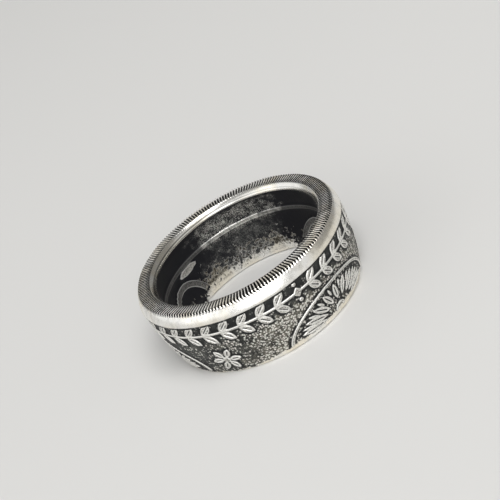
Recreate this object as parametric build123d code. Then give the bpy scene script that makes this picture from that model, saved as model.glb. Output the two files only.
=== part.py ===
from build123d import *
import math
import os

# A finger ring folded up from a silver coin: one piece of metal. The coin's
# reeded edge is the flat top end, its polished rims are the bands beside it,
# and its two faces are the outer and inner walls, with raised ornament.
# The axis is Z, and the ring stands on its narrow end at Z = 0.

# Whole ring
ring_height = 9.2
edge_radius = 12.0  # outer edge of the reeded top face
edge_corner = 0.12
edge_fall = 0.08  # how much lower the inner edge of the top face lies

# Outer rim band, the polished border of the coin
rim_radius = 12.58  # at the lower edge of the band, the widest place
rim_height = 1.5
rim_swell = 0.1

# Outer field, the coin's face below the rim
field_depth = 0.2
field_step = 0.12
field_bulge = 0.25  # how far the wall bows out past a straight line
foot_radius = 11.34  # outside of the narrow end
foot_corner = 0.3

# Inner wall
hole_radius = 10.48  # inner edge of the reeded top face
inner_rim_radius = 10.0
inner_rim_height = 0.9
inner_rim_swell = 0.06
inner_field_depth = 0.16
inner_step = 0.1
inner_bulge = 0.45
bore_radius = 9.85  # straight stretch that was sized on the mandrel
bore_length = 1.0
bore_corner = 0.3

# Reeds on the top face
reed_count = 200
reed_depth = 0.26
reed_width = 0.2

# Raised ornament: how far it stands above its field, and how deep it is rooted
relief_height = 0.18
relief_root = 0.15

# Leaf border under the rim
repeats = 3  # copies of the whole pattern round the ring
border_slots = 12  # places in one repeat, the first one a lozenge
border_gap = 1.42  # from the rim's lower edge to the stem
stem_width = 0.3
leaf_length = 1.8
leaf_width = 0.9
leaf_lean = 42.0
leaf_offset = 0.7  # from the stem to the middle of a leaf
vein_width = 0.14
vein_share = 0.58  # of its leaf's length
lozenge_size = 0.85
pellet_radius = 0.24
pellet_offset = 1.0

# Shell-shaped fan that stands on the narrow end
fan_half_width = 6.6
fan_rise = 3.85
fan_line = 0.34
fan_foot = 0.62  # height of the fan's base line above the narrow end
fan_petals = 9
petal_start = 1.25  # measured straight up, and more towards the sides
petal_length = 1.95
petal_width = 0.72
ray_start = 2.25
ray_length = 1.0
ray_width = 0.3
hub_radius = 0.8

# Rosette between two fans
rosette_height = 2.35
rosette_petals = 6
rosette_reach = 1.05
rosette_petal_length = 1.35
rosette_petal_width = 0.72
rosette_hub_radius = 0.4

# Inner wall's ornament: a ribbon, and a bar and an arch in each repeat
ribbon_drop = 3.9  # from the top face to the ribbon's lower edge
ribbon_width = 0.5
bar_length = 3.6
bar_width = 0.9
bar_gap = 0.55  # from the ribbon down to the middle of the bar
arch_half_width = 3.6
arch_rise = 3.5
arch_line = 0.8
arch_foot = 0.7  # height of the arch's middle above the narrow end
inner_turn = 141.0  # azimuth of the first arch
bar_turn = -14.0  # from an arch to the bar above it
fan_turn = -57.0  # azimuth of the first fan
rosette_turn = -69.0  # from a fan to the rosette before it
border_turn = -76.0  # azimuth of the first lozenge

overrun = 1.0  # how far cutters and ornament prisms run past the metal

top = ring_height
rim_foot = top - rim_height
field_top_radius = rim_radius - field_depth
field_top = rim_foot - field_step
inner_field_radius = inner_rim_radius + inner_field_depth
inner_field_top = top - inner_rim_height - inner_step
bore_top = bore_corner + bore_length
repeat_angle = 360.0 / repeats


def bowed(start, end, bow):
    """Arc from start to end whose middle lies bow to the outside of the chord."""
    (r0, z0), (r1, z1) = start, end
    run = math.hypot(r1 - r0, z1 - z0)
    out = (abs(z1 - z0) / run, (r0 - r1) / run * (1 if z1 > z0 else -1))
    middle = ((r0 + r1) / 2 + out[0] * bow, (z0 + z1) / 2 + out[1] * bow)
    return ThreePointArc(start, middle, end)


def outer_wall(grow):
    """The outer field's arc, moved out by grow."""
    return bowed(
        (field_top_radius + grow, field_top), (foot_radius + grow, foot_corner), field_bulge
    )


def inner_wall(shrink):
    """The inner field's arc, from the bore up, moved towards the axis by shrink."""
    return bowed(
        (bore_radius - shrink, bore_top), (inner_field_radius - shrink, inner_field_top), inner_bulge
    )


def turned(edges):
    """Solid of revolution about Z from a closed outline of radii and heights."""
    return revolve(Plane.XZ * make_face(edges), Axis.Z)


def band():
    """The coin's metal without reeds and ornament."""
    edge = (edge_radius, top - edge_corner)
    face_edge = (edge_radius - edge_corner, top)
    hole_edge = (hole_radius, top - edge_fall)
    inner_rim_foot = (inner_rim_radius, top - inner_rim_height)
    foot_inside = (bore_radius + bore_corner, 0)
    foot_outside = (foot_radius - foot_corner, 0)
    return turned(
        [
            Line(edge, face_edge),
            Line(face_edge, hole_edge),
            bowed(hole_edge, inner_rim_foot, -inner_rim_swell),
            Line(inner_rim_foot, inner_wall(0) @ 1),
            inner_wall(0),
            Line(inner_wall(0) @ 0, (bore_radius, bore_corner)),
            RadiusArc((bore_radius, bore_corner), foot_inside, -bore_corner),
            Line(foot_inside, foot_outside),
            RadiusArc(foot_outside, (foot_radius, foot_corner), -foot_corner),
            outer_wall(0),
            Line(outer_wall(0) @ 0, (rim_radius, rim_foot)),
            bowed((rim_radius, rim_foot), edge, rim_swell),
        ]
    )


def reeds():
    """The grooves of the top face, one V-shaped cutter for each."""
    start = hole_radius - overrun
    run = edge_radius + overrun - start
    groove = Polygon((0, -reed_depth), (reed_width / 2, 0), (-reed_width / 2, 0), align=None)
    across = Plane(origin=(start, 0, top), x_dir=(0, 1, 0), z_dir=(1, 0, 0))
    cutter = extrude(across * groove, run, dir=(1, 0, 0))
    return [place * cutter for place in PolarLocations(0, reed_count)]


def leaf(length, width):
    """A pointed leaf lying along X, its middle at the origin."""
    end = length / 2
    return make_face(
        [
            ThreePointArc((-end, 0), (0, width / 2), (end, 0)),
            ThreePointArc((end, 0), (0, -width / 2), (-end, 0)),
        ]
    )


def veined_leaf(length, width):
    """A leaf with a slit for its middle vein."""
    return leaf(length, width) - Rectangle(length * vein_share, vein_width)


def on_wall(shape, azimuth, height):
    """Prism of a flat shape, seen upright from outside, through the whole wall."""
    out = Vector(1, 0, 0).rotate(Axis.Z, azimuth)
    along = Vector(0, 1, 0).rotate(Axis.Z, azimuth)
    start = bore_radius / 2
    plane = Plane(origin=out * start + Vector(0, 0, height), x_dir=along, z_dir=out)
    return extrude(plane * shape, rim_radius + overrun - start, dir=out)


def border():
    """Leaves on both sides of a stem, with a lozenge and two pellets at each break."""
    height = rim_foot - border_gap
    pitch = repeat_angle / border_slots
    upper = Pos(0, leaf_offset) * Rot(0, 0, leaf_lean) * veined_leaf(leaf_length, leaf_width)
    lower = Pos(0, -leaf_offset) * Rot(0, 0, -leaf_lean) * veined_leaf(leaf_length, leaf_width)
    lozenge = Rot(0, 0, 45) * Rectangle(lozenge_size, lozenge_size)
    pellets = Sketch() + [Pos(0, side * pellet_offset) * Circle(pellet_radius) for side in (-1, 1)]
    pieces = []
    for repeat in range(repeats):
        first = border_turn + repeat * repeat_angle
        pieces.append(on_wall(lozenge, first, height))
        pieces.append(on_wall(pellets, first, height))
        for slot in range(1, border_slots):
            azimuth = first + slot * pitch
            pieces.append(on_wall(upper, azimuth, height))
            pieces.append(on_wall(lower, azimuth, height))
    return pieces


def stem():
    """The border's stem, a fine band round the ring."""
    height = rim_foot - border_gap
    return extrude(Pos(0, 0, height - stem_width / 2) * Circle(rim_radius + overrun), stem_width)


def spread_leaf(kind, start, length, width, lean):
    """A leaf of that kind on a line from the fan's middle, longer towards the sides of the flat arch."""
    across = fan_half_width / fan_rise * math.cos(math.radians(lean))
    upward = math.sin(math.radians(lean))
    middle = start + length / 2
    figure = kind(length * math.hypot(across, upward), width)
    turn = math.degrees(math.atan2(upward, across))
    return Pos(middle * across, middle * upward) * Rot(0, 0, turn) * figure


def fan(azimuth):
    """An arched line over petals and rays that spread from a half-round hub."""
    arch = Ellipse(fan_half_width, fan_rise) - Ellipse(fan_half_width - fan_line, fan_rise - fan_line)
    upper_half = Pos(0, fan_rise / 2) * Rectangle(2 * fan_half_width, fan_rise)
    hub = Circle(hub_radius) - Circle(hub_radius - fan_line)
    pieces = [on_wall((arch + hub) & upper_half, azimuth, fan_foot)]
    spacing = 180.0 / fan_petals
    for n in range(fan_petals):
        petal = spread_leaf(veined_leaf, petal_start, petal_length, petal_width, (n + 0.5) * spacing)
        pieces.append(on_wall(petal, azimuth, fan_foot))
    for n in range(1, fan_petals):
        ray = spread_leaf(leaf, ray_start, ray_length, ray_width, n * spacing)
        pieces.append(on_wall(ray, azimuth, fan_foot))
    return pieces


def rosette(azimuth):
    """Petals round a small round hub."""
    petal = Pos(rosette_reach, 0) * veined_leaf(rosette_petal_length, rosette_petal_width)
    flower = Sketch() + [Circle(rosette_hub_radius)]
    flower += [place * petal for place in PolarLocations(0, rosette_petals)]
    return on_wall(flower, azimuth, rosette_height)


def inner_ornament(azimuth):
    """An arch and a bar on the inner wall, below its ribbon."""
    arch = Ellipse(arch_half_width, arch_rise)
    arch -= Ellipse(arch_half_width - arch_line, arch_rise - arch_line)
    bar = leaf(bar_length, bar_width)
    return [
        on_wall(arch, azimuth, arch_foot),
        on_wall(bar, azimuth + bar_turn, top - ribbon_drop - bar_gap),
    ]


def inner_ribbon():
    """The narrow ribbon round the inner wall."""
    return extrude(Pos(0, 0, top - ribbon_drop) * Circle(inner_field_radius + overrun), ribbon_width)


def outer_skin():
    """The layer that the outer ornament fills."""
    inside, outside = outer_wall(-relief_root), outer_wall(relief_height)
    return turned([inside, outside, Line(inside @ 0, outside @ 0), Line(inside @ 1, outside @ 1)])


def inner_skin():
    """The layer that the inner ornament fills."""
    inside, outside = inner_wall(relief_height), inner_wall(-relief_root)
    return turned([inside, outside, Line(inside @ 0, outside @ 0), Line(inside @ 1, outside @ 1)])


def coin_ring():
    """The whole ring as one solid."""
    outer = border() + [stem()]
    inner = [inner_ribbon()]
    for repeat in range(repeats):
        turn = repeat * repeat_angle
        outer += fan(fan_turn + turn)
        outer.append(rosette(fan_turn + turn + rosette_turn))
        inner += inner_ornament(inner_turn + turn)
    relief = [outer_skin() & (Part() + outer), inner_skin() & (Part() + inner)]
    return (band() - reeds()) + relief


if __name__ == "__main__":
    os.makedirs("parts", exist_ok=True)
    export_step(coin_ring(), "parts/coin_ring.step")
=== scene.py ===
import math

import bmesh
import bpy
import numpy as np
from mathutils import Matrix, Vector, noise


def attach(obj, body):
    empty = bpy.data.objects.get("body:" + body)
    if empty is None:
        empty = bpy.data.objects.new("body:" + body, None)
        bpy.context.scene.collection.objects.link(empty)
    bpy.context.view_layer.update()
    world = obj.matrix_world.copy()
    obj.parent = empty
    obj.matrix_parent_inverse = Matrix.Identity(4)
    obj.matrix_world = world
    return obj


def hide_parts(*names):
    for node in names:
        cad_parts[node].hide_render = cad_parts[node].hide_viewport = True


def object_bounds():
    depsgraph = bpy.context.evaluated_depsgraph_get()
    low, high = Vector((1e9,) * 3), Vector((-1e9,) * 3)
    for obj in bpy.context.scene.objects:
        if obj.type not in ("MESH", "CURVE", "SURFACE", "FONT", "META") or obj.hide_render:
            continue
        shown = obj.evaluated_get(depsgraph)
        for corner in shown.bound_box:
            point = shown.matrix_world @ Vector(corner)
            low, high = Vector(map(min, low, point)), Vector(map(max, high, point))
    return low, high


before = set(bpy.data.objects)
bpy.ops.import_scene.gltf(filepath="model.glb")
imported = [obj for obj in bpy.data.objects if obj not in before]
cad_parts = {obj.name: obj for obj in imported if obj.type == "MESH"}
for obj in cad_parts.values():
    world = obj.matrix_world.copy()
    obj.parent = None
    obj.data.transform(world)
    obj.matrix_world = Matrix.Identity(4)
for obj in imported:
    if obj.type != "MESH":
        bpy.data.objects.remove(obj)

cad_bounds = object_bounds()

bl_info = {
    "name": "Coin ring",
    "version": (1, 0, 0),
    "blender": (4, 5, 0),
    "location": "View3D > Sidebar > Coin Ring",
    "description": "Builds a finger ring folded up from a coin, with its stage",
    "category": "Object",
}

MM = 0.001
FRAME_PIXELS = 500.0
TOP_CENTRE_PIXEL = (232.0, 240.7)  # where the middle of the ring's top end shows

VEIN_SHARE = 0.58  # of a leaf's length
GROOVE_EDGE = 0.4  # from a groove's middle to its edge, as a share of the reeds' pitch
GROOVE_FLOOR = 0.1  # from a groove's middle to the side of its floor, as a like share
PEBBLE_SPACING = 0.16 * MM
WOBBLE_SPACING = 3.5 * MM
WOBBLE_START = 0.3 * MM  # the walls go out of true from this height on
WOBBLE_FULL = 2.5 * MM  # and as far as they ever do from this one

LIGHT_DISTANCE = 1.2  # metres from the ring
LIGHTS = (
    # name, azimuth and elevation in degrees, side in metres, power in watts
    ("key_light", -72.0, 60.0, 0.7, 10.6),
    ("front_light", -93.0, 11.0, 1.0, 7.0),
    ("front_left_light", -148.0, 14.0, 1.1, 3.3),
    ("front_right_light", -45.0, 14.0, 1.0, 1.3),
    ("left_light", 165.0, 18.0, 1.15, 2.6),
    ("back_light", 105.0, 30.0, 0.8, 1.0),
)


def length(name, description, default):
    """A length property, its default in millimetres."""
    return bpy.props.FloatProperty(
        name=name, description=description, default=default * MM, unit="LENGTH", precision=6
    )


def turn(name, description, default):
    """An angle property, its default in degrees."""
    return bpy.props.FloatProperty(
        name=name, description=description, default=math.radians(default), subtype="ANGLE"
    )


def count(name, description, default):
    """A whole number property."""
    return bpy.props.IntProperty(name=name, description=description, default=default, min=1)


def tint(name, description, default):
    """A linear colour property."""
    return bpy.props.FloatVectorProperty(
        name=name, description=description, default=default, subtype="COLOR", size=3, min=0.0, max=1.0
    )


class CoinRingBandSettings(bpy.types.PropertyGroup):
    """The folded coin: its two walls, its rims and its reeds."""

    height: length("Height", "From the narrow end to the reeded end", 9.2)
    edge_radius: length("Edge radius", "Outer edge of the reeded top face", 12.0)
    edge_corner: length("Edge corner", "Rounding of the top face's outer edge", 0.12)
    edge_fall: length("Edge fall", "How much lower the top face's inner edge lies", 0.08)
    rim_radius: length("Rim radius", "Lower edge of the polished rim, the widest place", 12.58)
    rim_height: length("Rim height", "From the top to the rim's lower edge", 1.5)
    rim_swell: length("Rim swell", "How far the rim bows out", 0.1)
    field_depth: length("Field depth", "How far the outer field lies inside the rim", 0.2)
    field_step: length("Field step", "Height of the slope from rim to field", 0.12)
    field_bulge: length("Field bulge", "How far the outer wall bows out", 0.25)
    foot_radius: length("Foot radius", "Outside of the narrow end", 11.34)
    foot_corner: length("Foot corner", "Rounding of the narrow end's outer edge", 0.3)
    hole_radius: length("Hole radius", "Inner edge of the reeded top face", 10.48)
    inner_rim_radius: length("Inner rim radius", "Lower edge of the inner rim", 10.0)
    inner_rim_height: length("Inner rim height", "From the top to the inner rim's lower edge", 0.9)
    inner_rim_swell: length("Inner rim swell", "How far the inner rim bows in", 0.06)
    inner_field_depth: length("Inner field depth", "How far the inner field lies behind its rim", 0.16)
    inner_step: length("Inner step", "Height of the slope from inner rim to field", 0.1)
    inner_bulge: length("Inner bulge", "How far the inner wall bows out", 0.45)
    bore_radius: length("Bore radius", "The straight stretch above the narrow end", 9.85)
    bore_length: length("Bore length", "Length of the straight stretch", 1.0)
    bore_corner: length("Bore corner", "Rounding of the narrow end's inner edge", 0.3)
    reed_count: count("Reeds", "Grooves across the top face", 200)
    reed_depth: length("Reed depth", "Depth of a groove", 0.24)
    wobble: length("Wobble", "How far the walls and rims are out of true", 0.05)
    grain_depth: length("Grain depth", "Height of the pebbles on the fields", 0.03)
    columns_per_reed: count("Columns per reed", "Mesh columns that shape one reed", 4)


class CoinRingOrnamentSettings(bpy.types.PropertyGroup):
    """The raised ornament on both walls."""

    relief: length("Relief", "How far the ornament stands above its field", 0.17)
    edge: length("Edge", "Width of the slope at the ornament's edges", 0.14)
    repeats: count("Repeats", "Copies of the whole pattern round the ring", 3)
    border_slots: count("Border slots", "Places in one repeat of the border, the first a lozenge", 12)
    border_gap: length("Border gap", "From the rim down to the stem", 1.42)
    border_turn: turn("Border turn", "Azimuth of the first lozenge", -76.0)
    stem_width: length("Stem width", "Width of the border's stem", 0.3)
    leaf_length: length("Leaf length", "Length of a border leaf", 1.8)
    leaf_width: length("Leaf width", "Width of a border leaf", 0.9)
    leaf_lean: turn("Leaf lean", "Slope of a leaf against the stem", 42.0)
    leaf_offset: length("Leaf offset", "From the stem to the middle of a leaf", 0.7)
    vein_width: length("Vein width", "Width of a leaf's middle slit", 0.14)
    lozenge_size: length("Lozenge size", "Side of a lozenge", 0.85)
    pellet_radius: length("Pellet radius", "Radius of the dots above and below a lozenge", 0.24)
    pellet_offset: length("Pellet offset", "From the stem to a dot", 1.0)
    fan_turn: turn("Fan turn", "Azimuth of the first fan", -57.0)
    fan_half_width: length("Fan half width", "Half the width of a fan's arch", 6.6)
    fan_rise: length("Fan rise", "Height of a fan's arch", 3.85)
    fan_line: length("Fan line", "Width of a fan's lines", 0.34)
    fan_foot: length("Fan foot", "Height of a fan's base line", 0.62)
    fan_petals: count("Fan petals", "Petals in a fan", 9)
    petal_start: length("Petal start", "From a fan's middle up to its petals", 1.25)
    petal_length: length("Petal length", "Length of a fan's upright petal", 1.95)
    petal_width: length("Petal width", "Width of a fan's petal", 0.72)
    ray_start: length("Ray start", "From a fan's middle up to its rays", 2.25)
    ray_length: length("Ray length", "Length of a fan's upright ray", 1.0)
    ray_width: length("Ray width", "Width of a fan's ray", 0.3)
    hub_radius: length("Hub radius", "Radius of a fan's half-round hub", 0.8)
    rosette_turn: turn("Rosette turn", "From a fan to the rosette before it", -69.0)
    rosette_height: length("Rosette height", "Height of a rosette's middle", 2.35)
    rosette_petals: count("Rosette petals", "Petals in a rosette", 6)
    rosette_reach: length("Rosette reach", "From a rosette's middle to that of a petal", 1.05)
    rosette_petal_length: length("Rosette petal length", "Length of a rosette's petal", 1.35)
    rosette_petal_width: length("Rosette petal width", "Width of a rosette's petal", 0.72)
    rosette_hub_radius: length("Rosette hub radius", "Radius of a rosette's middle dot", 0.4)
    inner_turn: turn("Inner turn", "Azimuth of the first arch on the inner wall", 141.0)
    ribbon_drop: length("Ribbon drop", "From the top down to the inner ribbon's lower edge", 3.9)
    ribbon_width: length("Ribbon width", "Width of the inner ribbon", 0.5)
    arch_half_width: length("Arch half width", "Half the width of an inner arch", 3.6)
    arch_rise: length("Arch rise", "Height of an inner arch", 3.5)
    arch_line: length("Arch line", "Width of an inner arch's line", 0.8)
    arch_foot: length("Arch foot", "Height of an inner arch's middle", 0.7)
    bar_turn: turn("Bar turn", "From an arch to the bar above it", -14.0)
    bar_length: length("Bar length", "Length of a bar", 3.6)
    bar_width: length("Bar width", "Width of a bar", 0.9)
    bar_gap: length("Bar gap", "From the ribbon down to a bar's middle", 0.55)


class CoinRingFinishSettings(bpy.types.PropertyGroup):
    """The coin metal's colours, and where its film and its wear lie."""

    silver: tint("Silver", "Polished metal", (0.95, 0.94, 0.905))
    warm_silver: tint("Warm silver", "Polished metal where it has yellowed", (0.92, 0.87, 0.76))
    pinkish: tint("Pinkish", "Warm tinge of grains and tops rubbed bare of the film", (0.94, 0.885, 0.845))
    greenish: tint("Greenish", "Cool tinge of grains and tops rubbed bare of the film", (0.88, 0.90, 0.83))
    worn: tint("Worn", "Dull metal between the film and the polish", (0.30, 0.285, 0.25))
    stain: tint("Stain", "Brownish stains on the bare inner metal", (0.20, 0.185, 0.155))
    patina: tint("Patina", "Dark film in the recesses", (0.013, 0.0135, 0.014))
    inner_patina: tint("Inner patina", "Dark film on the inner wall", (0.010, 0.010, 0.0135))
    gap_film: tint("Gap film", "Brownish film between the most rubbed grains", (0.2, 0.19, 0.155))
    thin_film: tint("Thin film", "Film rubbed thin", (0.086, 0.091, 0.086))
    wall_middle: length("Wall middle", "Radius that parts the inner wall's finish from the outer's", 10.95)
    grain_size: length("Grain size", "Breadth of a grain of the pebbled ground", 0.23)
    wear_turn: turn("Wear turn", "Azimuth where the outer field is rubbed most", -70.0)
    wear_drop: length("Wear drop", "From the top down to where the outer field is rubbed", 3.7)
    foot_turn: turn("Foot turn", "Azimuth where the polish reaches up from the narrow end", -57.3)
    film_drop: length("Film drop", "From the top down to the film's ragged border inside", 7.2)
    film_turn: turn("Film turn", "Azimuth of the first stretch inside that the film leaves bare", 85.94)
    speckle_turn: turn("Speckle turn", "Azimuth of the first speckled stretch inside", 83.65)
    # painted shade: round this azimuth the inner rim's metal is darkened and its dark line made stronger
    rim_shade_turn: turn("Dim turn", "Azimuth where the inner rim is dull", 120.32)
    score_drop: length("Score drop", "From the top down to the line scored in the inner rim", 0.56)


class CoinRingStageSettings(bpy.types.PropertyGroup):
    """The camera, the floor and the soft light from all round."""

    camera_elevation: turn("Camera elevation", "Height of the camera above the horizon", 26.67)
    camera_roll: turn("Camera roll", "Turn of the picture about its viewing direction", 31.47)
    camera_distance: length("Camera distance", "From the middle of the ring's top end", 142.9)
    lens: bpy.props.FloatProperty(name="Lens", description="Focal length", default=93.6, unit="CAMERA")
    floor_size: length("Floor size", "Side of the square floor", 3000.0)
    floor_color: tint("Floor", "Colour of the plain floor", (0.66, 0.655, 0.64))
    sky_color: tint("Sky", "Colour of the light from all round", (1.0, 0.995, 0.98))
    sky_strength: bpy.props.FloatProperty(
        name="Sky strength", description="Strength of the light from all round", default=0.28, min=0.0
    )


# Band: the outline is worked out from the settings, and spun about the ring's axis


def bowed(start, end, bow, steps):
    """Points from start up to end, on an arc whose middle lies bow outside the chord, end left out."""
    start, end = np.array(start), np.array(end)
    along = end - start
    side = np.array((abs(along[1]), -along[0] * (1 if along[1] > 0 else -1))) / np.hypot(*along)
    share = np.arange(steps)[:, None] / steps
    return start + along * share + side * bow * 4 * share * (1 - share)


def rounded(centre, radius, first, last, steps):
    """Points of a round corner between two angles, the last one left out."""
    angle = np.radians(first + (last - first) * np.arange(steps) / steps)[:, None]
    return np.array(centre) + radius * np.hstack((np.cos(angle), np.sin(angle)))


def outline(s):
    """Rows of radius and height round the section, and the name of each row's face."""
    top = s.height
    bore_top = s.bore_corner + s.bore_length
    hole_edge = (s.hole_radius, top - s.edge_fall)
    inner_rim_foot = (s.inner_rim_radius, top - s.inner_rim_height)
    inner_top = (s.inner_rim_radius + s.inner_field_depth, inner_rim_foot[1] - s.inner_step)
    rim_foot = (s.rim_radius, top - s.rim_height)
    field_top = (s.rim_radius - s.field_depth, rim_foot[1] - s.field_step)
    edge_centre = (s.edge_radius - s.edge_corner, top - s.edge_corner)
    bore_centre = (s.bore_radius + s.bore_corner, s.bore_corner)
    foot_centre = (s.foot_radius - s.foot_corner, s.foot_corner)
    # the last number of each span is how many rows of vertices it has
    spans = (
        ("edge", rounded(edge_centre, s.edge_corner, 0, 90, 2)),
        ("top", bowed((edge_centre[0], top), hole_edge, 0, 5)),
        ("inner_rim", bowed(hole_edge, inner_rim_foot, -s.inner_rim_swell, 6)),
        ("inner_rim", bowed(inner_rim_foot, inner_top, 0, 2)),
        ("inner", bowed(inner_top, (s.bore_radius, bore_top), s.inner_bulge, 29)),
        ("bore", bowed((s.bore_radius, bore_top), (s.bore_radius, s.bore_corner), 0, 5)),
        ("foot", rounded(bore_centre, s.bore_corner, 180, 270, 3)),
        ("foot", bowed((bore_centre[0], 0), (foot_centre[0], 0), 0, 3)),
        ("foot", rounded(foot_centre, s.foot_corner, 270, 360, 3)),
        ("outer", bowed((s.foot_radius, s.foot_corner), field_top, s.field_bulge, 56)),
        ("rim", bowed(field_top, rim_foot, 0, 2)),
        ("rim", bowed(rim_foot, (s.edge_radius, edge_centre[1]), s.rim_swell, 8)),
    )
    points = np.vstack([part for name, part in spans])
    names = [name for name, part in spans for row in part]
    return points, names


def spin_band(points, columns):
    """A closed band from the outline, and the outline row of each of its vertices."""
    bm = bmesh.new()
    row_layer = bm.verts.layers.int.new("row")
    ring = []
    for row, (radius, height) in enumerate(points):
        vert = bm.verts.new((radius, 0.0, height))
        vert[row_layer] = row
        ring.append(vert)
    edges = [bm.edges.new((vert, ring[i - 1])) for i, vert in enumerate(ring)]
    bmesh.ops.spin(
        bm, geom=ring + edges, cent=(0, 0, 0), axis=(0, 0, 1), angle=2 * math.pi, steps=columns,
        use_merge=True, use_normal_flip=False, use_duplicate=False,
    )
    bmesh.ops.recalc_face_normals(bm, faces=bm.faces[:])
    rows = np.array([vert[row_layer] for vert in bm.verts])
    mesh = bpy.data.meshes.new("coin_ring_band")
    bm.to_mesh(mesh)
    bm.free()
    return mesh, rows


# Ornament: each function gives the distance from points to a figure's edge, positive inside it


def rotated(x, y, angle):
    """Points seen from axes turned by angle."""
    return x * math.cos(angle) + y * math.sin(angle), y * math.cos(angle) - x * math.sin(angle)


def leaf(x, y, long, wide):
    """A pointed leaf along x."""
    radius = ((long / 2) ** 2 + (wide / 2) ** 2) / wide
    lift = radius - wide / 2
    return radius - np.maximum(np.hypot(x, y + lift), np.hypot(x, y - lift))


def slot_cut(x, y, long, wide):
    """A straight slot along x."""
    return np.minimum(long / 2 - abs(x), wide / 2 - abs(y))


def veined_leaf(x, y, long, wide, vein):
    """A leaf with a slit for its middle vein."""
    return np.minimum(leaf(x, y, long, wide), -slot_cut(x, y, long * VEIN_SHARE, vein))


def ellipse(x, y, half_x, half_y):
    """An ellipse about the origin."""
    near = np.hypot(x / half_x, y / half_y)
    slope = np.hypot(x / half_x**2, y / half_y**2) + 1e-9
    return near * (1 - near) / slope


def oval_ring(x, y, half_x, half_y, line):
    """An elliptical ring."""
    return np.minimum(ellipse(x, y, half_x, half_y), -ellipse(x, y, half_x - line, half_y - line))


def folded(azimuth, first, period):
    """Azimuths from the nearest copy of a figure, and the number of that copy."""
    number = np.round((azimuth - first) / period)
    return azimuth - first - number * period, number.astype(int)


def border(o, azimuth, radius, height):
    """Leaves on both sides of a stem, with lozenges and pellets."""
    apart, number = folded(azimuth, o.border_turn, 2 * math.pi / o.repeats / o.border_slots)
    x, y = radius * np.sin(apart), height
    leaves = []
    for side in (1, -1):
        u, v = rotated(x, y - side * o.leaf_offset, side * o.leaf_lean)
        leaves.append(veined_leaf(u, v, o.leaf_length, o.leaf_width, o.vein_width))
    u, v = rotated(x, y, math.pi / 4)
    lozenge = o.lozenge_size / 2 - np.maximum(abs(u), abs(v))
    pellets = o.pellet_radius - np.hypot(x, abs(y) - o.pellet_offset)
    stem = o.stem_width / 2 - abs(y)
    figures = np.where(number % o.border_slots == 0, np.maximum(lozenge, pellets), np.maximum(*leaves))
    return np.maximum(figures, stem)


def spread_leaf(o, x, y, start, long, wide, vein, lean):
    """A leaf on a line from the fan's middle, longer towards the sides of the flat arch."""
    across, upward = o.fan_half_width / o.fan_rise * math.cos(lean), math.sin(lean)
    middle = start + long / 2
    u, v = rotated(x - middle * across, y - middle * upward, math.atan2(upward, across))
    long = long * math.hypot(across, upward)
    return veined_leaf(u, v, long, wide, vein) if vein else leaf(u, v, long, wide)


def fan(o, azimuth, radius, height):
    """An arch over petals and rays that spread from a half-round hub."""
    apart = folded(azimuth, o.fan_turn, 2 * math.pi / o.repeats)[0]
    x, y = radius * np.sin(apart), height - o.fan_foot
    arch = oval_ring(x, y, o.fan_half_width, o.fan_rise, o.fan_line)
    hub = oval_ring(x, y, o.hub_radius, o.hub_radius, o.fan_line)
    figure = np.minimum(np.maximum(arch, hub), y)
    spacing = math.pi / o.fan_petals
    for n in range(o.fan_petals):
        lean = (n + 0.5) * spacing
        petal = spread_leaf(o, x, y, o.petal_start, o.petal_length, o.petal_width, o.vein_width, lean)
        figure = np.maximum(figure, petal)
    for n in range(1, o.fan_petals):
        ray = spread_leaf(o, x, y, o.ray_start, o.ray_length, o.ray_width, 0.0, n * spacing)
        figure = np.maximum(figure, ray)
    return figure


def rosette(o, azimuth, radius, height):
    """Petals round a small round hub."""
    apart = folded(azimuth, o.fan_turn + o.rosette_turn, 2 * math.pi / o.repeats)[0]
    x, y = radius * np.sin(apart), height - o.rosette_height
    figure = o.rosette_hub_radius - np.hypot(x, y)
    for n in range(o.rosette_petals):
        u, v = rotated(x, y, 2 * math.pi * n / o.rosette_petals)
        petal = veined_leaf(
            u - o.rosette_reach, v, o.rosette_petal_length, o.rosette_petal_width, o.vein_width
        )
        figure = np.maximum(figure, petal)
    return figure


def inner_figures(o, azimuth, radius, height, ribbon_foot):
    """The inner wall's ribbon, arches and bars."""
    period = 2 * math.pi / o.repeats
    across = radius * np.sin(folded(azimuth, o.inner_turn, period)[0])
    arch = oval_ring(across, height - o.arch_foot, o.arch_half_width, o.arch_rise, o.arch_line)
    across = radius * np.sin(folded(azimuth, o.inner_turn + o.bar_turn, period)[0])
    bar = leaf(across, height - ribbon_foot + o.bar_gap, o.bar_length, o.bar_width)
    ribbon = o.ribbon_width / 2 - abs(height - ribbon_foot - o.ribbon_width / 2)
    return np.maximum(np.maximum(arch, bar), ribbon)


def figure_distance(face, azimuth, radius, height, s, o):
    """From each vertex to the edge of the nearest figure on its wall, and far outside on other faces."""
    distance = np.full(len(face), -MM)
    here = face == "outer"
    border_height = s.height - s.rim_height - o.border_gap
    distance[here] = np.maximum.reduce(
        (
            border(o, azimuth[here], radius[here], height[here] - border_height),
            fan(o, azimuth[here], radius[here], height[here]),
            rosette(o, azimuth[here], radius[here], height[here]),
        )
    )
    here = face == "inner"
    ribbon_foot = s.height - o.ribbon_drop
    distance[here] = inner_figures(o, azimuth[here], radius[here], height[here], ribbon_foot)
    return distance


# Shaping: the band's vertices are moved


def smooth_step(value, low, high):
    """0 below low, 1 above high, and a smooth rise between them."""
    share = np.clip((value - low) / (high - low), 0, 1)
    return share * share * (3 - 2 * share)


def unevenness(where, size, strength):
    """Noise at each point, from 0 to strength, with lumps of that size."""
    values = [noise.noise(Vector(point)) for point in where / size]
    return np.clip(np.array(values) + 0.5, 0, 1) * strength


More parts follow.
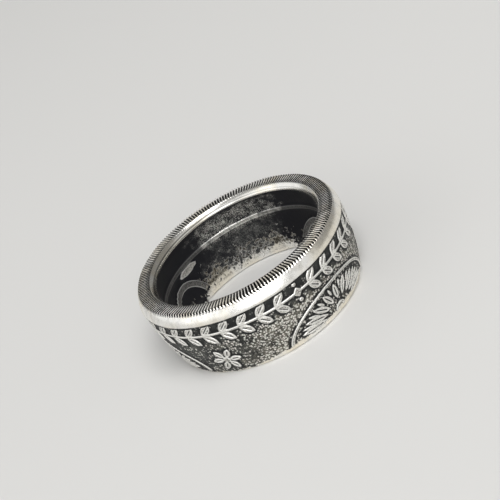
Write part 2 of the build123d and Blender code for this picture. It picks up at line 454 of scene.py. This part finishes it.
def surface_rise(where, face, height, distance, s, o):
    """How far each vertex moves out of its face: raised figures, pebbles between them, walls out of true."""
    rise = o.relief * smooth_step(distance, -o.edge / 2, o.edge / 2)
    outer, inner = face == "outer", face == "inner"
    pebbled = np.where(outer, s.grain_depth, s.grain_depth / 3) * (outer | inner)
    rise += unevenness(where, PEBBLE_SPACING, 1.0) * pebbled * (1 - rise / o.relief)
    straight = np.isin(face, ("foot", "bore"))
    share = smooth_step(height, WOBBLE_START, WOBBLE_FULL) * ~straight
    rise -= unevenness(where, WOBBLE_SPACING, s.wobble) * share
    return rise


def reed_drop(azimuth, top, s):
    """How far each vertex of the top sinks into a reed's groove."""
    pitch = 2 * math.pi / s.reed_count
    apart = folded(azimuth, 0.0, pitch)[0]
    groove = smooth_step(abs(apart) / pitch, GROOVE_EDGE, GROOVE_FLOOR) * s.reed_depth
    return np.where(top, groove, 0.0)


def sharpen_reeds(mesh, rows, top):
    """Marks the edges that run along the top's grooves as sharp."""
    ends = np.empty(len(mesh.edges) * 2, dtype=int)
    mesh.edges.foreach_get("vertices", ends)
    first, second = ends.reshape(-1, 2).T
    crease = mesh.attributes.new("sharp_edge", "BOOLEAN", "EDGE")
    crease.data.foreach_set("value", top[first] & top[second] & (rows[first] != rows[second]))


def shape_band(mesh, rows, points, names, s, o):
    """Moves the band's vertices to make its reeds, its ornament and its worn, uneven surface."""
    where = np.empty(len(mesh.vertices) * 3)
    mesh.vertices.foreach_get("co", where)
    where = where.reshape(-1, 3)
    half_column = math.pi / s.reed_count / s.columns_per_reed
    azimuth = np.arctan2(where[:, 1], where[:, 0]) + half_column
    radius, height = points[rows, 0], points[rows, 1]
    along = np.roll(points, -1, axis=0) - np.roll(points, 1, axis=0)
    side = (np.stack((along[:, 1], -along[:, 0]), axis=1) / np.hypot(*along.T)[:, None])[rows]
    face = np.array(names)[rows]
    top = np.isin(face, ("top", "edge"))

    distance = figure_distance(face, azimuth, radius, height, s, o)
    moved = side * surface_rise(where, face, height, distance, s, o)[:, None]
    radius, height = radius + moved[:, 0], height + moved[:, 1] - reed_drop(azimuth, top, s)
    where = np.stack((radius * np.cos(azimuth), radius * np.sin(azimuth), height), axis=1)
    mesh.vertices.foreach_set("co", where.ravel())
    attribute = mesh.attributes.new("ornament", "FLOAT", "POINT")
    attribute.data.foreach_set("value", np.clip(distance / MM, -1.0, 1.0))
    sharpen_reeds(mesh, rows, top)


# Finish: the coin metal's nodes, built by sums and products of sockets


class Wire:
    """A shader socket that takes part in Python expressions on values."""

    def __init__(self, tree, socket):
        self.tree = tree
        self.socket = socket

    def node(self, kind, settings=None, *values, out=0, **named):
        """A node of that kind: its settings first, then the values or links of its sockets."""
        node = self.tree.nodes.new(kind)
        for name, value in (settings or {}).items():
            setattr(node, name, value)
        sockets = [(node.inputs[i], value) for i, value in enumerate(values) if value is not None]
        sockets += [(node.inputs[name.replace("_", " ")], value) for name, value in named.items()]
        for socket, value in sockets:
            if isinstance(value, Wire):
                self.tree.links.new(value.socket, socket)
            else:
                socket.default_value = value
        return Wire(self.tree, node.outputs[out]) if node.outputs else node

    def math(self, operation, *values):
        """One of the operations of Blender's Math node."""
        return self.node("ShaderNodeMath", {"operation": operation}, *values)

    def __add__(self, other):
        return self.math("ADD", self, other)

    def __radd__(self, other):
        return self.math("ADD", other, self)

    def __sub__(self, other):
        return self.math("SUBTRACT", self, other)

    def __rsub__(self, other):
        return self.math("SUBTRACT", other, self)

    def __mul__(self, other):
        return self.math("MULTIPLY", self, other)

    def __rmul__(self, other):
        return self.math("MULTIPLY", other, self)

    def __truediv__(self, other):
        return self.math("DIVIDE", self, other)

    def __pow__(self, other):
        return self.math("POWER", self, other)

    def step(self, low, high):
        """A smooth rise from 0 at low to 1 at high."""
        settings = {"interpolation_type": "SMOOTHSTEP", "clamp": True}
        return self.node("ShaderNodeMapRange", settings, self, low, high, 0.0, 1.0)

    def fall(self, low, high):
        """A smooth fall from 1 at low to 0 at high."""
        settings = {"interpolation_type": "SMOOTHSTEP", "clamp": True}
        return self.node("ShaderNodeMapRange", settings, self, low, high, 1.0, 0.0)

    def most(self, other):
        """The greater of two values."""
        return self.math("MAXIMUM", self, other)

    def parts(self):
        """The three numbers of a vector or colour."""
        node = self.tree.nodes.new("ShaderNodeSeparateXYZ")
        self.tree.links.new(self.socket, node.inputs[0])
        return [Wire(self.tree, socket) for socket in node.outputs]

    def between(self, first, second):
        """A colour that goes from first to second as this value goes from 0 to 1."""
        settings = {"data_type": "RGBA", "blend_type": "MIX", "clamp_factor": True}
        node = self.tree.nodes.new("ShaderNodeMix")
        for name, value in settings.items():
            setattr(node, name, value)
        self.tree.links.new(self.socket, node.inputs[0])
        for socket, value in ((node.inputs[6], first), (node.inputs[7], second)):
            if isinstance(value, Wire):
                self.tree.links.new(value.socket, socket)
            else:
                socket.default_value = (*value, 1.0)
        return Wire(self.tree, node.outputs[2])


class Surface:
    """What the metal reads at a point: its place in millimetres, its wall, its figure and its noises."""

    def __init__(self, tree, f, s):
        self.start = Wire(tree, None)
        place = self.start.node("ShaderNodeTexCoord", None, out=3)
        self.place = self.start.node("ShaderNodeVectorMath", {"operation": "SCALE"}, place, Scale=1 / MM)
        x, y, z = self.place.parts()
        self.azimuth = self.start.math("ARCTAN2", y, x)
        self.radius = (x * x + y * y) ** 0.5
        self.drop = s.height / MM - z

        middle = f.wall_middle / MM
        self.outer = self.radius.step(middle - 0.15, middle + 0.15)
        self.inner = 1 - self.outer

        # millimetres inside the edge of the nearest figure, negative outside it
        self.ornament = self.start.node("ShaderNodeAttribute", {"attribute_name": "ornament"}, out=2)
        self.raised = self.ornament.step(-0.03, 0.03)
        # a band along the inside of each figure's edge: rubbed bare, and also painted as a highlight in the
        # brightest silver
        self.edge = self.raised * self.ornament.fall(0.05, 0.15)
        # the ground just outside a figure, kept under dark film: patina at the figures' feet and painted
        # shade beside them
        self.beside_patina_and_shade = self.ornament.step(-0.45, -0.08)

        upright = self.start.node(
            "ShaderNodeVectorMath", {"operation": "MULTIPLY"}, self.place, (1.0, 1.0, 0.3)
        )
        # from patches some millimetres wide down to the tiniest grain
        self.patches = self.grain(0.3, 2.0)
        self.lumps = self.grain(1.1, 3.0)
        self.blotches = self.grain(1.9, 5.0)
        self.streaks = self.grain(2.6, 3.0, upright)
        self.fine = self.grain(4.5, 2.0)
        self.fur = self.grain(6.5, 2.0, upright)
        self.finest = self.grain(9.0, 2.0)
        self.tiny = self.grain(14.0, 1.0)
        self.chance, self.gloss, self.hue = self.cells(f.grain_size, 1).parts()

        # three stretches round the ring, with ragged ends, where the inner wall shows more metal
        self.ragged = (self.lumps - 0.5) * 0.9 + (self.patches - 0.5) * 0.9
        self.thirds = (self.lobe(f.speckle_turn, 3) + self.ragged).step(0.42, 0.92)

    def grain(self, scale, detail, vector=None):
        """Noise about 0.5, finer as scale grows."""
        vector = vector or self.place
        return self.start.node("ShaderNodeTexNoise", None, Vector=vector, Scale=scale, Detail=detail)

    def cells(self, size, out):
        """Cells of that size: out 0 is the distance from a cell's middle, out 1 its own random colour."""
        return self.start.node("ShaderNodeTexVoronoi", None, Vector=self.place, Scale=MM / size, out=out)

    def lobe(self, middle, copies=1):
        """1 at an azimuth and at its copies round the ring, 0 halfway between them."""
        return 0.5 + 0.5 * self.start.math("COSINE", (self.azimuth - middle) * copies)


def rubbed_ground(p, f):
    """How much the outer ground is rubbed, and its grains that are rubbed bare."""
    wear = p.lobe(f.wear_turn, 2) * 0.85 + (p.patches - 0.5) + (p.lumps - 0.5) * 0.5 + 0.15
    middle = f.wear_drop / MM
    # less rubbing beside the figures keeps the patina and painted shade there dark
    rubbing = p.outer * wear * p.drop.step(middle - 0.9, middle + 0.9) * (1 - p.beside_patina_and_shade * 0.85)
    grains = p.cells(f.grain_size, 0).fall(0.3, 0.62)
    return rubbing, p.outer * grains * (p.chance + rubbing * 1.08).step(0.8, 1.22)


def inner_specks(p, s, o):
    """The speckled stretches of the inner wall, and their specks, which thin out below the ribbon."""
    rim_foot = s.inner_rim_height / MM
    ribbon_foot = o.ribbon_drop / MM
    speckled = p.inner * p.thirds * p.drop.step(rim_foot, rim_foot + 0.9)
    dusting = p.tiny * 0.8 + p.fine * 0.2 + (p.lumps - 0.5) * 0.35
    thinning = 0.16 + p.drop.fall(ribbon_foot, ribbon_foot + 0.7) * 0.7
    return speckled, dusting.step(0.5, 0.62) * speckled * thinning


def outer_film(p, f, s):
    """Film outside, from the rim down to the polished narrow end."""
    rim_foot = s.rim_height / MM
    field_top = rim_foot + s.field_step / MM
    foot_edge = (s.height - s.foot_corner) / MM
    polished_foot = p.lobe(f.foot_turn).step(0.75, 0.95) * 0.42
    reach = p.drop + (p.fine - 0.5) * 0.6 + (p.lumps - 0.5) * 0.8 + polished_foot
    return p.outer * p.drop.step(rim_foot, field_top) * reach.fall(foot_edge - 0.06, foot_edge + 0.06)


def inner_film(p, f, s):
    """Film inside, from the inner rim down to a ragged border, and further between its bare stretches."""
    field_top = (s.inner_rim_height + s.inner_step) / MM
    film_foot = f.film_drop / MM
    sheltered = (p.lobe(f.film_turn, 3) + p.ragged * 0.4).fall(0.1, 0.55)
    torn = (p.blotches - 0.5) * 8.5 + (p.patches - 0.5) * 3.0 + (p.streaks - 0.5) * 2.0
    torn = torn + (p.fur - 0.5) * 1.6 + (p.tiny - 0.5) * 1.5
    reach = p.drop + torn - sheltered * 1.7
    return p.inner * p.drop.step(field_top - 0.06, field_top) * reach.fall(film_foot - 0.4, film_foot + 0.4)


def bare_figures(p, o):
    """Figures rubbed bare but for their pitted tops, and more or less so inside, by their kind."""
    ribbon_foot = o.ribbon_drop / MM
    bar_foot = ribbon_foot + (o.bar_gap + o.bar_width / 2) / MM
    pits = (p.fine * 0.7 + p.finest * 0.6 - 0.15).step(0.42, 0.58)
    filmed = p.raised * (1 - p.edge) * pits * (0.6 + p.lumps.step(0.35, 0.6) * 0.35)
    filmed = filmed * (p.outer + p.inner * 0.6)
    broken = p.thirds * (p.lumps * 0.4 + p.fine * 0.6).step(0.32, 0.55)
    ribbon = p.drop.fall(ribbon_foot, ribbon_foot + 0.1) * (0.12 + broken * 0.95)
    bar = p.drop.step(ribbon_foot + 0.05, ribbon_foot + 0.15) * p.drop.fall(bar_foot, bar_foot + 0.1) * 0.75
    arch = p.drop.step(bar_foot, bar_foot + 0.1) * (0.2 + p.edge * 0.3)
    return p.raised * (1 - filmed) * (p.outer * 0.95 + p.inner * (ribbon + bar + arch))


def reed_grooves_and_shade(p, s):
    """The reeds' dark floors: patina in the grooves, widened into painted shade to the left and right of the
    ring.
    """
    reeds_foot = (s.edge_fall + s.reed_depth) / MM
    hole = s.hole_radius / MM
    edge = s.edge_radius / MM
    pitch = 2 * math.pi / s.reed_count
    turned = p.azimuth / pitch + 0.5 + s.reed_count
    away = p.start.math("ABSOLUTE", p.start.math("FRACT", turned) - 0.5) * 2
    # painted shade: the dark share of each reed grows towards the left and right of the ring
    width = 0.53 + p.lobe(0.0, 2) * 0.26 + (p.lumps - 0.5) * 0.16
    on_top = p.radius.step(hole - 0.02, hole + 0.04) * p.radius.fall(edge, edge + 0.06)
    on_top = on_top * p.drop.fall(reeds_foot + 0.04, reeds_foot + 0.1)
    return on_top * (away - width).fall(-0.03, 0.03)


def scored_line(p, f, rim_shade):
    """The dark line scored round the inner rim, stronger on the side where the rim is darkened as painted
    shade.
    """
    line = f.score_drop / MM
    band = p.drop.step(line - 0.1, line - 0.02) * p.drop.fall(line + 0.02, line + 0.12)
    return p.inner * band * (0.15 + rim_shade * 0.5)


def bare_silver(p, f, s, film, rim_shade):
    """Polished metal: yellowed in patches, pitted and dulled in places, darkened as painted shade on one
    side of the inner rim, and stained low down inside.
    """
    inner_field_top = (s.inner_rim_height + s.inner_step) / MM
    film_foot = f.film_drop / MM
    polish = p.patches.step(0.4, 0.65).between(f.silver, f.warm_silver)
    pitted = (p.fine * 0.4 + p.tiny * 0.6 + (p.lumps - 0.5) * 0.4).step(0.66, 0.72) * (1 - film)
    dulled = (p.lumps * 0.6 + p.streaks * 0.4).step(0.44, 0.66) * (0.24 - p.inner * 0.19) + pitted * 0.6
    # painted shade: the inner rim is darkened on one side of the ring
    dulled = dulled + p.inner * p.drop.fall(inner_field_top - 0.05, inner_field_top) * rim_shade * 0.4
    blots = (p.blotches * 0.8 + p.fine * 0.35 + (p.fur + p.tiny - 1) * 0.3).step(0.58, 0.68)
    low = p.drop.step(film_foot - 1.8, film_foot - 1.2) * p.drop.fall(film_foot + 0.7, film_foot + 1.9)
    return (p.inner * low * blots).between(dulled.between(polish, f.worn), f.stain)


def film_shades(p, f, rubbing, speckled):
    """The film's colour: thin where it is mottled or clouded, and brownish between the rubbed grains."""
    mottle = (p.fine * 0.45 + p.finest * 0.55 + (p.lumps - 0.5) * 0.3).step(0.38, 0.66)
    clouds = (p.lumps * 0.6 + p.patches * 0.4).step(0.35, 0.65)
    thinned = mottle * (0.24 + rubbing.step(0.0, 0.3).most(p.inner) * 0.56) + clouds * p.outer * 0.28
    # the film stays thick beside the figures: patina at their feet, and painted shade
    thinned = thinned * (1 - p.beside_patina_and_shade * 0.95) * (p.outer + speckled * 0.8)
    thick = p.inner.between(f.patina, f.inner_patina)
    thin = rubbing.step(0.2, 0.8).between(f.thin_film, f.gap_film)
    return thinned.between(thick, thin)


def coin_metal(f, s, o):
    """Coin silver: dark film in the recesses, rubbed grains and figures, polished rims and narrow end, with
    painted shade on the reeds, beside the figures and on the inner rim's dull side, and a painted highlight
    on the figures' edges.
    """
    material = bpy.data.materials.new("oxidised_coin_silver")
    material.use_nodes = True
    tree = material.node_tree
    tree.nodes.clear()
    p = Surface(tree, f, s)

    rubbing, pebbles = rubbed_ground(p, f)
    speckled, specks = inner_specks(p, s, o)
    film = outer_film(p, f, s) + inner_film(p, f, s)
    dark = film * (1 - pebbles.most(specks).most(bare_figures(p, o)))
    # painted shade on one side of the inner rim
    rim_shade = p.lobe(f.rim_shade_turn).step(0.7, 0.93)
    groove = reed_grooves_and_shade(p, s)

    rubbed = (p.gloss * 0.35).between(p.hue.between(f.pinkish, f.greenish), f.worn)
    color = film.between(bare_silver(p, f, s, film, rim_shade), rubbed)
    # painted highlight: the figures' edges get the brightest silver, over their real polish
    color = (p.edge * film).between(color, f.silver)
    color = dark.between(color, film_shades(p, f, rubbing, speckled))
    # patina in the reeds' grooves and the rim's line, with the painted shade that widens and strengthens
    # them
    color = groove.most(scored_line(p, f, rim_shade)).between(color, f.patina)
    roughness = 0.24 + dark * 0.2 + film * 0.12 + groove * 0.3 + (p.finest - 0.5) * film * 0.1
    height = pebbles * film * 1.2 + p.finest * (film * 0.4 + 0.04) + p.lumps * 0.2
    height = height + p.ornament.step(-0.05, 0.06) * 0.8
    normal = p.start.node("ShaderNodeBump", None, Strength=0.6, Distance=0.05 * MM, Height=height)
    shader = p.start.node(
        "ShaderNodeBsdfPrincipled", None,
        Base_Color=color, Metallic=1 - dark * 0.4, Roughness=roughness, Normal=normal,
    )
    p.start.node("ShaderNodeOutputMaterial", None, shader)
    return material


class COINRING_OT_band(bpy.types.Operator):
    """Make the ring: the folded coin with its reeds, rims and raised ornament"""

    bl_idname = "coin_ring.band"
    bl_label = "Coin ring"

    def execute(self, context):
        s, o = context.scene.coin_ring_band, context.scene.coin_ring_ornament
        points, names = outline(s)
        mesh, rows = spin_band(points, s.reed_count * s.columns_per_reed)
        shape_band(mesh, rows, points, names, s, o)
        mesh.shade_smooth()
        band = bpy.data.objects.new("coin_ring_band", mesh)
        context.scene.collection.objects.link(band)
        mesh.materials.append(coin_metal(context.scene.coin_ring_finish, s, o))
        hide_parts("coin_ring")
        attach(band, "root")
        return {"FINISHED"}


# Stage


def make_camera(settings):
    """Camera at the photograph's angle, aimed by its shift."""
    data = bpy.data.cameras.new("camera")
    data.sensor_width = 36.0
    data.lens = settings.lens
    data.clip_start = 0.001
    data.shift_x = 0.5 - TOP_CENTRE_PIXEL[0] / FRAME_PIXELS
    data.shift_y = TOP_CENTRE_PIXEL[1] / FRAME_PIXELS - 0.5
    camera = bpy.data.objects.new("camera", data)
    bpy.context.scene.collection.objects.link(camera)
    elevation = settings.camera_elevation
    back = Vector((0.0, -math.cos(elevation), math.sin(elevation)))
    target = Vector((0.0, 0.0, cad_bounds[1][2]))
    facing = Matrix.Rotation(math.pi / 2 - elevation, 4, "X")
    roll = Matrix.Rotation(-settings.camera_roll, 4, "Z")
    camera.matrix_world = Matrix.Translation(target + back * settings.camera_distance) @ facing @ roll
    bpy.context.scene.camera = camera


def make_floor(settings):
    """A plain pale floor, larger than the view."""
    bm = bmesh.new()
    bmesh.ops.create_grid(bm, x_segments=1, y_segments=1, size=settings.floor_size / 2)
    mesh = bpy.data.meshes.new("floor")
    bm.to_mesh(mesh)
    bm.free()
    floor = bpy.data.objects.new("floor", mesh)
    bpy.context.scene.collection.objects.link(floor)
    material = bpy.data.materials.new("plain_floor")
    material.use_nodes = True
    shader = material.node_tree.nodes["Principled BSDF"]
    shader.inputs["Base Color"].default_value = (*settings.floor_color, 1.0)
    shader.inputs["Roughness"].default_value = 0.9
    shader.inputs["Specular IOR Level"].default_value = 0.1
    mesh.materials.append(material)


def make_light(name, azimuth, elevation, size, power):
    """A square soft light that faces the ring."""
    data = bpy.data.lights.new(name, "AREA")
    data.shape = "SQUARE"
    data.size = size
    data.energy = power
    light = bpy.data.objects.new(name, data)
    bpy.context.scene.collection.objects.link(light)
    a, e = math.radians(azimuth), math.radians(elevation)
    away = Vector((math.cos(a) * math.cos(e), math.sin(a) * math.cos(e), math.sin(e)))
    facing = away.to_track_quat("Z", "Y").to_matrix().to_4x4()
    light.matrix_world = Matrix.Translation(away * LIGHT_DISTANCE) @ facing


def make_sky(settings):
    """Even soft light from all round."""
    world = bpy.data.worlds.new("soft_white")
    world.use_nodes = True
    background = world.node_tree.nodes["Background"]
    background.inputs["Color"].default_value = (*settings.sky_color, 1.0)
    background.inputs["Strength"].default_value = settings.sky_strength
    bpy.context.scene.world = world


class COINRING_OT_stage(bpy.types.Operator):
    """Make the floor, the lights and the camera"""

    bl_idname = "coin_ring.stage"
    bl_label = "Stage"

    def execute(self, context):
        settings = context.scene.coin_ring_stage
        make_camera(settings)
        make_floor(settings)
        for light in LIGHTS:
            make_light(*light)
        make_sky(settings)
        context.scene.view_settings.view_transform = "Standard"
        return {"FINISHED"}


class COINRING_PT_panel(bpy.types.Panel):
    """The ring's makers and their settings"""

    bl_idname = "COINRING_PT_panel"
    bl_label = "Coin Ring"
    bl_space_type = "VIEW_3D"
    bl_region_type = "UI"
    bl_category = "Coin Ring"

    def draw(self, context):
        """Each maker's button, with its settings below it."""
        for operator, groups in PANEL_ROWS:
            self.layout.operator(operator)
            for group in groups:
                settings = getattr(context.scene, group)
                for name in settings.__annotations__:
                    self.layout.prop(settings, name)


PANEL_ROWS = (
    ("coin_ring.band", ("coin_ring_band", "coin_ring_ornament", "coin_ring_finish")),
    ("coin_ring.stage", ("coin_ring_stage",)),
)
GROUPS = {
    "coin_ring_band": CoinRingBandSettings,
    "coin_ring_ornament": CoinRingOrnamentSettings,
    "coin_ring_finish": CoinRingFinishSettings,
    "coin_ring_stage": CoinRingStageSettings,
}
CLASSES = (*GROUPS.values(), COINRING_OT_band, COINRING_OT_stage, COINRING_PT_panel)


def register():
    """Makes the operators, the panel and the settings known to Blender."""
    for cls in CLASSES:
        bpy.utils.register_class(cls)
    for name, group in GROUPS.items():
        setattr(bpy.types.Scene, name, bpy.props.PointerProperty(type=group))


def unregister():
    """Takes out what register puts in, in the opposite order."""
    for name in GROUPS:
        delattr(bpy.types.Scene, name)
    for cls in reversed(CLASSES):
        bpy.utils.unregister_class(cls)


def main():
    """Builds the ring and its stage."""
    register()
    bpy.ops.coin_ring.band()
    bpy.ops.coin_ring.stage()
    bpy.context.view_layer.update()


if __name__ == "__main__":
    main()
